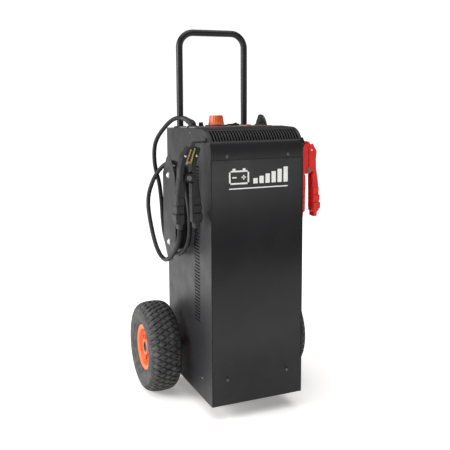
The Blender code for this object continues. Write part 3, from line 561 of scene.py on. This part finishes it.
def make_winder_bolts():
    """Domed bolts with washers that hold each winder plate."""
    for side in (-1, 1):
        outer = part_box("winder_plate_" + SIDES[side])[1 if side > 0 else 0].x
        outward = Matrix.Rotation(side * math.pi / 2, 4, "Y")
        for i, z in enumerate((WINDER_LOW, WINDER_HIGH)):
            place = Matrix.Translation((outer, WINDER_Y, z)) @ outward
            lathe(f"winder_washer_{SIDES[side]}_{i}", WASHER, 32, "charger", "zinc_steel", place)
            lathe(f"winder_bolt_{SIDES[side]}_{i}", BOLT, 32, "charger", "zinc_steel", place, BRIGHT_BOLT)


def make_mark():
    """A plain white battery sign with a row of bars, on the front panel."""
    face = Matrix.Translation((0, -HALF_D - 0.00012, 0)) @ PLANE_XZ

    def bar(name, x0, z0, x1, z1):
        outline = rounded(rectangle(x0, z0, x1, z1), 0.0012, 3)
        plate(name, outline, INK, "charger", None, face, WHITE_PRINT)

    left, right, low, high, line = -0.082, -0.026, 0.598, 0.634, 0.0042
    bar("sign_bottom", left, low, right, low + line)
    bar("sign_top", left, high - line, right, high)
    bar("sign_left", left, low, left + line, high)
    bar("sign_right", right - line, low, right, high)
    for i, x in enumerate((left + 0.010, right - 0.018)):
        bar(f"sign_post_{i}", x, high, x + 0.008, high + 0.005)
    bar("sign_minus", left + 0.009, 0.6142, left + 0.021, 0.6178)
    bar("sign_plus_a", right - 0.021, 0.6142, right - 0.009, 0.6178)
    bar("sign_plus_b", right - 0.0168, 0.6100, right - 0.0132, 0.6220)
    for i in range(6):
        x = -0.014 + 0.0175 * i
        bar(f"level_bar_{i}", x, low, x + 0.0125, low + 0.014 + 0.0052 * i)
    bar("sign_underline", left, 0.5855, 0.0860, 0.5885)


# ---- Wheels ----
TYRE_HALF = [(0.0542, 0.0300), (0.0600, 0.0314), (0.0665, 0.0332), (0.0690, 0.0366), (0.0745, 0.0418),
             (0.0830, 0.0455), (0.0910, 0.0467), (0.0990, 0.0466), (0.1070, 0.0453), (0.1130, 0.0433),
             (0.1185, 0.0400), (0.1232, 0.0352), (0.1266, 0.0288), (0.1287, 0.0206), (0.1296, 0.0112),
             (0.1299, 0.0)]
RIM_PROFILE = [
    (0.0655, 0.0360), (0.0655, 0.0338), (0.0535, 0.0312), (0.0515, 0.0240), (0.0495, 0.0),
    (0.0515, -0.0240), (0.0535, -0.0312), (0.0655, -0.0338), (0.0655, -0.0360), (0.0570, -0.0360),
    (0.0485, -0.0290), (0.0460, -0.0060), (0.0240, -0.0040), (0.0225, -0.0320), (0.0173, -0.0320),
    (0.0173, 0.0315), (0.0225, 0.0315), (0.0240, 0.0215), (0.0450, 0.0195), (0.0490, 0.0255),
    (0.0520, 0.0335), (0.0570, 0.0360),
]
RIM_RIB = [(0.0232, 0.0200), (0.0466, 0.0180), (0.0484, 0.0262), (0.0340, 0.0268), (0.0232, 0.0298)]
RIM_RIBS = 8
TYRE_RINGS = [(0.1010, 0.0463), (0.0780, 0.0435)]
VALVE = [(0.0, 0), (0.0048, 0), (0.0042, 0.004), (0.0032, 0.011), (0.0026, 0.013), (0.0, 0.0135)]
VALVE_TURN, VALVE_OUT, VALVE_LIFT = math.radians(-62), 0.0370, 0.0170
AXLE_END = [(0.0, 0.0272), (0.0100, 0.0272), (0.0102, 0.0280), (0.0096, 0.0288), (0.0, 0.0292)]
TREAD_REPEATS = 44
TREAD_DEPTH = 0.0042
TREAD_EDGE, TREAD_FADE = 0.1085, 0.006    # the radius where the grooves start, and how soon they are deep
TREAD_SLANT = 0.0165
GROOVE_HALF, GROOVE_WALL = 0.16, 0.04    # in shares of one repeat
TREAD_STEP, WALL_STEP = 0.0016, 0.006


def tread(angle, radius, width):
    """How far the tyre's surface lies below its outline: crossed grooves that leave diamond blocks."""
    if radius < TREAD_EDGE:
        return 0.0
    fade = min(1.0, (radius - TREAD_EDGE) / TREAD_FADE)
    around = angle * TREAD_REPEATS / math.tau
    slant = width / TREAD_SLANT
    depth = 0.0
    for direction in (-1, 1):
        distance = abs((around + direction * slant * 0.5) % 1.0 - 0.5)
        depth = max(depth, min(1.0, max(0.0, (GROOVE_HALF - distance) / GROOVE_WALL)))
    return -TREAD_DEPTH * depth * fade


def make_wheel(side):
    """Tyre, dished rim with ribs, moulded rings, valve, and the cap on the axle's end."""
    name, body = SIDES[side], "wheel_" + SIDES[side]
    place = Matrix.Translation((side * WHEEL_X, AXLE_Y, AXLE_Z)) @ Matrix.Rotation(side * math.pi / 2, 4, "Y")
    fine = []
    for a, b in zip(TYRE_HALF, TYRE_HALF[1:]):
        step = TREAD_STEP if b[0] > TREAD_EDGE else WALL_STEP
        parts = max(1, round((Vector(b) - Vector(a)).length / step))
        fine += [tuple(Vector(a).lerp(Vector(b), i / parts)) for i in range(parts)]
    fine.append(TYRE_HALF[-1])
    outline = fine + [(r, -w) for r, w in fine[-2::-1]]
    tyre = lathe("tyre_body_" + name, outline, TREAD_REPEATS * 10, body, "tyre", place, ripple=tread)
    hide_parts("tyre_" + name)
    rim = lathe("rim_dish_" + name, RIM_PROFILE, 96, body, "orange_rim", place)
    bevelled(rim, 0.0012, 2)
    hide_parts("rim_" + name)
    upright = Matrix.Rotation(math.pi / 2, 4, "X")
    for i in range(RIM_RIBS):
        turn = Matrix.Rotation(math.tau * (i + 0.5) / RIM_RIBS, 4, "Z")
        rib = plate(f"rim_rib_{name}_{i}", RIM_RIB, 0.0034, body, "orange_rim", place @ turn @ upright)
        bevelled(rib, 0.0008, 2)
    for i, (ring_r, ring_w) in enumerate(TYRE_RINGS):
        ring = [(ring_r - 0.0009, ring_w), (ring_r, ring_w + 0.0007), (ring_r + 0.0009, ring_w),
                (ring_r + 0.0009, ring_w - 0.0012), (ring_r - 0.0009, ring_w - 0.0012)]
        lathe(f"tyre_ring_{name}_{i}", ring, 96, body, "tyre", place)
    stem = Matrix.Rotation(VALVE_TURN, 4, "Z") @ Matrix.Translation((VALVE_OUT, 0, VALVE_LIFT))
    lathe("valve_" + name, VALVE, 20, body, "black_rubber", place @ stem)
    lathe("axle_end_" + name, AXLE_END, 32, "charger", "black_plastic", place)


# ---- Handle ----
HANDLE_HALF, HANDLE_Y, HANDLE_R = 0.1011, 0.144, 0.0095
HANDLE_FOOT, HANDLE_BEND_START, HANDLE_BEND = 0.470, 0.9575, 0.042
HANDLE_STEPS = 14


def make_handle():
    """The bent tube: up from inside the cabinet, across, and down again."""
    path = [Vector((-HANDLE_HALF, HANDLE_Y, HANDLE_FOOT))]
    for side, start in ((-1, 180), (1, 90)):
        middle = side * (HANDLE_HALF - HANDLE_BEND)
        for i in range(HANDLE_STEPS + 1):
            angle = math.radians(start - 90 * i / HANDLE_STEPS)
            path.append(Vector((middle + HANDLE_BEND * math.cos(angle), HANDLE_Y,
                                HANDLE_BEND_START + HANDLE_BEND * math.sin(angle))))
    path.append(Vector((HANDLE_HALF, HANDLE_Y, HANDLE_FOOT)))
    bar = pipe("handle_bar", path, [HANDLE_R] * len(path), 40, "charger", "handle_paint")
    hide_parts("handle_tube")


# ---- Glands ----
GLAND_BASE = [(0.0, 0), (0.0155, 0), (0.0155, 0.0022), (0.0140, 0.0040), (0.0112, 0.0052),
              (0.0104, 0.0100), (0.0085, 0.0150), (0.0045, 0.0185), (0.0, 0.0195)]
SLEEVE_R, SLEEVE_TAPER, SLEEVE_RIDGE = 0.0094, 0.0026, 0.0006


def make_gland(side):
    """The gland's base on the cover, and its ribbed sleeve round the start of the lead."""
    name = SIDES[side]
    place, direction = gland_start(side)
    flange = lathe("gland_base_" + name, GLAND_BASE, 48, "charger", "black_plastic",
                   on_cover(side * GLAND[0], GLAND[1], EDGE_GAP))
    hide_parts("lead_gland_" + name)
    path = [place + direction * (0.002 + 0.001 * i) for i in range(22)] + lead_points(side)[1:5]
    radii = []
    for i in range(len(path)):
        share = i / (len(path) - 1)
        ridge = SLEEVE_RIDGE if (i // 2) % 2 == 0 else 0.0
        radii.append(SLEEVE_R - SLEEVE_TAPER * share + ridge * (1 - 0.6 * share))
    pipe("gland_sleeve_" + name, path, radii, 28, "charger", "black_plastic")


# ---- Controls ----
KNOB_LIFT, KNOB_FACE = 0.0061, 0.0262
KNOB_PROFILE = [(0.0, 0.0), (0.0225, 0.0), (0.0225, 0.0030), (0.0215, 0.0045), (0.0206, 0.0120),
                (0.0196, 0.0200), (0.0190, 0.0235), (0.0184, 0.0254), (0.0168, 0.0260), (0.0, 0.0260)]
FLUTES, FLUTE_DEPTH, FLUTE_LOW, FLUTE_HIGH, FLUTE_INNER = 18, 0.0006, 0.0045, 0.0235, 0.0150
LABEL_FACE = 0.0015
TICKS, TICK_FIRST, TICK_STEP, TICK_RADIUS = 13, -150, 25, 0.0345
BAND_HALF = 0.112
BANDS = [(-0.0160, -0.0120, RED_PRINT), (-0.0110, -0.0080, ORANGE_PRINT)]
LAMP = [(0.0, 0.0), (0.0032, 0.0), (0.0032, 0.0010), (0.0022, 0.0022), (0.0, 0.0026)]


def fluted(angle, radius, height):
    """How far the knob's side lies below its outline."""
    if radius < FLUTE_INNER or height < FLUTE_LOW or height > FLUTE_HIGH:
        return 0.0
    return -FLUTE_DEPTH * (0.5 - 0.5 * math.cos(FLUTES * angle))


def make_controls():
    """The knob with its pointer and scale, the label's bands and window, and three lamps."""
    seat = on_cover(*KNOB, KNOB_LIFT)
    knob = lathe("knob_body", KNOB_PROFILE, 144, "selector", "orange_knob", seat, ripple=fluted)
    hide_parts("selector_knob")
    plate("knob_pointer", rounded(rectangle(-0.0011, 0.004, 0.0011, 0.0155), 0.0008, 3), 0.0003,
          "selector", None, seat @ Matrix.Translation((0, 0, KNOB_FACE)), WHITE_PRINT)
    scale = on_cover(*KNOB, LABEL_FACE)
    for i in range(TICKS):
        turn = Matrix.Rotation(math.radians(TICK_FIRST + TICK_STEP * i), 4, "Z")
        tick = 0.005 if i % 3 == 0 else 0.003
        plate(f"scale_tick_{i}", rectangle(-0.0005, TICK_RADIUS, 0.0005, TICK_RADIUS + tick), INK,
              "charger", None, scale @ turn, DARK_PRINT)
    for i, (low_y, high_y, ink) in enumerate(BANDS):
        half = (high_y - low_y) / 2
        plate(f"label_band_{i}", rectangle(-BAND_HALF, -half, BAND_HALF, half), INK, "charger", None,
              on_cover(0, (low_y + high_y) / 2, LABEL_FACE), ink)
    plate("label_window", rounded(rectangle(-0.014, -0.007, 0.014, 0.007), 0.002), 0.0006, "charger",
          None, on_cover(0.068, 0.022, 0.0018), DARK_PRINT)
    for i, ink in enumerate((RED_PRINT, ORANGE_PRINT, RED_PRINT)):
        lathe(f"lamp_{i}", LAMP, 24, "charger", None, on_cover(0.060 + 0.012 * i, 0.060, 0.0017), ink)


# ---- Clamps ----
# Outlines in the clamp's own plane: inner arm below zero, outer arm above it, jaws up.
GRIPS = {
    "inner": [(-0.0290, -0.0105, -0.050, -0.068), (-0.0305, -0.0110, -0.071, -0.089),
              (-0.0315, -0.0115, -0.092, -0.110)],
    "outer": [(0.0135, 0.0310, -0.050, -0.068), (0.0140, 0.0325, -0.071, -0.089),
              (0.0145, 0.0335, -0.092, -0.110)],
}
GRIP_STEP, GRIP_GROWTH, GRIP_TAPER = 0.0022, 0.0009, 0.0012
CHEEKS = {
    "inner": [(-0.0008, -0.0040), (-0.0008, 0.0700), (-0.0120, 0.0730), (-0.0250, 0.0520),
              (-0.0200, -0.0040)],
    "outer": [(0.0008, -0.0040), (0.0200, -0.0040), (0.0250, 0.0520), (0.0120, 0.0730),
              (0.0008, 0.0700)],
}
RIVET_SPOTS = {"inner": (-0.0210, 0.0560), "outer": (0.0090, 0.0560)}
RIVET = [(0.0, 0.0), (0.0032, 0.0), (0.0028, 0.0012), (0.0014, 0.0019), (0.0, 0.0021)]


def clamp_place(side):
    """The clamp's own plane: local X outwards, local Y up, origin on the pivot."""
    place = Matrix.Translation((side * CLAMP_U, CLAMP_Y[side], CLAMP_Z))
    if side > 0:
        return place @ PLANE_XZ
    return place @ Matrix(((-1, 0, 0), (0, 0, 1), (0, 1, 0))).to_4x4()


def make_clamp_detail(side):
    """Stepped grips and rivets on the clamp's moulded arms, and cheeks on the red one's."""
    name = SIDES[side]
    slot = "clamp_black" if side < 0 else "clamp_red"
    here = clamp_place(side)
    moving = "inner" if side < 0 else "outer"
    bodies = {which: "clamp_lever_" + name if which == moving else "charger" for which in GRIPS}
    for which, rows in GRIPS.items():
        for i, (left, right, high, low) in enumerate(rows):
            step = GRIP_STEP + GRIP_GROWTH * i
            if which == "inner":
                left -= step
                foot = [(left + GRIP_TAPER, low), (right, low)]
            else:
                right += step
                foot = [(left, low), (right - GRIP_TAPER, low)]
            outline = rounded(foot + [(right, high), (left, high)], 0.0020)
            grip = plate(f"grip_{which}_{name}_{i}", outline, 2 * (CLAMP_HALF + step), bodies[which],
                         slot, here)
            bevelled(grip, 0.0016, 3)
    if side > 0:
        for which, outline in CHEEKS.items():
            for k, face in ((-1, "front"), (1, "rear")):
                lift = Matrix.Translation((0, 0, k * (CLAMP_HALF + 0.0004)))
                cheek = plate(f"cheek_{which}_{name}_{face}", outline, 0.0014, bodies[which], slot,
                              here @ lift)
                bevelled(cheek, 0.0005, 2)
    for which, spot in RIVET_SPOTS.items():
        for k, letter in ((-1, "a"), (1, "b")):
            turn = Matrix.Rotation(0 if k > 0 else math.pi, 4, "X")
            lathe(f"rivet_{which}_{name}_{letter}", RIVET, 24, bodies[which], "zinc_steel",
                  here @ Matrix.Translation((*spot, k * CLAMP_HALF)) @ turn)


for each_side in (-1, 1):
    make_lead(each_side)
    make_wheel(each_side)
    make_gland(each_side)
    make_clamp_detail(each_side)
make_cover()
make_front()
make_screws()
make_winder_bolts()
make_mark()
make_handle()
make_controls()


# ---- Stage ----
BACKGROUND_LIGHT, WORLD_LIGHT = 1.05, 0.13    # what the camera sees, and what the object is lit by
FLOOR_COLOUR, FLOOR_GLOW, FLOOR_GLOW_LIGHT = (0.90, 0.895, 0.89, 1), (1.0, 0.985, 0.97, 1), 0.30
SKY_TILT, SKY_SPREAD, SKY_POWER = math.radians(6.0), math.radians(75.0), 2.7
KEY_PLACE, KEY_AIM, KEY_SIZE, KEY_POWER = (-2.6, 0.3, 1.25), (0, 0, 0.45), 1.3, 78.0


def add_light(name, kind, power):
    data = bpy.data.lights.new(name, kind)
    data.energy = power
    light = bpy.data.objects.new(name, data)
    bpy.context.scene.collection.objects.link(light)
    return light


def make_world():
    """White for the camera, and a dimmer white that lights the object."""
    world = bpy.data.worlds.new("studio")
    world.use_nodes = True
    nodes, links = world.node_tree.nodes, world.node_tree.links
    seen, light = nodes["Background"], nodes.new("ShaderNodeBackground")
    for shader, strength in ((seen, BACKGROUND_LIGHT), (light, WORLD_LIGHT)):
        shader.inputs["Color"].default_value = (1.0, 1.0, 1.0, 1.0)
        shader.inputs["Strength"].default_value = strength
    blend = nodes.new("ShaderNodeMixShader")
    links.new(nodes.new("ShaderNodeLightPath").outputs["Is Camera Ray"], blend.inputs["Fac"])
    links.new(light.outputs["Background"], blend.inputs[1])
    links.new(seen.outputs["Background"], blend.inputs[2])
    links.new(blend.outputs["Shader"], nodes["World Output"].inputs["Surface"])
    bpy.context.scene.world = world
    bpy.context.scene.view_settings.view_transform = "Standard"


def make_stage():
    """A white floor that runs into a white background, a broad sky light and a key from the left."""
    make_world()
    bpy.ops.mesh.primitive_plane_add(size=60)
    floor = bpy.context.object
    floor.name = "floor"
    material = bpy.data.materials.new("floor")
    material.use_nodes = True
    shader = material.node_tree.nodes["Principled BSDF"]
    shader.inputs["Base Color"].default_value = FLOOR_COLOUR
    shader.inputs["Roughness"].default_value = 0.9
    shader.inputs["Specular IOR Level"].default_value = 0.0
    shader.inputs["Emission Color"].default_value = FLOOR_GLOW
    shader.inputs["Emission Strength"].default_value = FLOOR_GLOW_LIGHT
    floor.data.materials.append(material)
    sky = add_light("sky", "SUN", SKY_POWER)
    sky.data.angle = SKY_SPREAD
    sky.rotation_euler = (SKY_TILT, 0, 0)
    key = add_light("key", "AREA", KEY_POWER)
    key.data.size = KEY_SIZE
    key.location = KEY_PLACE
    key.rotation_euler = (Vector(KEY_AIM) - Vector(KEY_PLACE)).to_track_quat("-Z", "Y").to_euler()


make_stage()
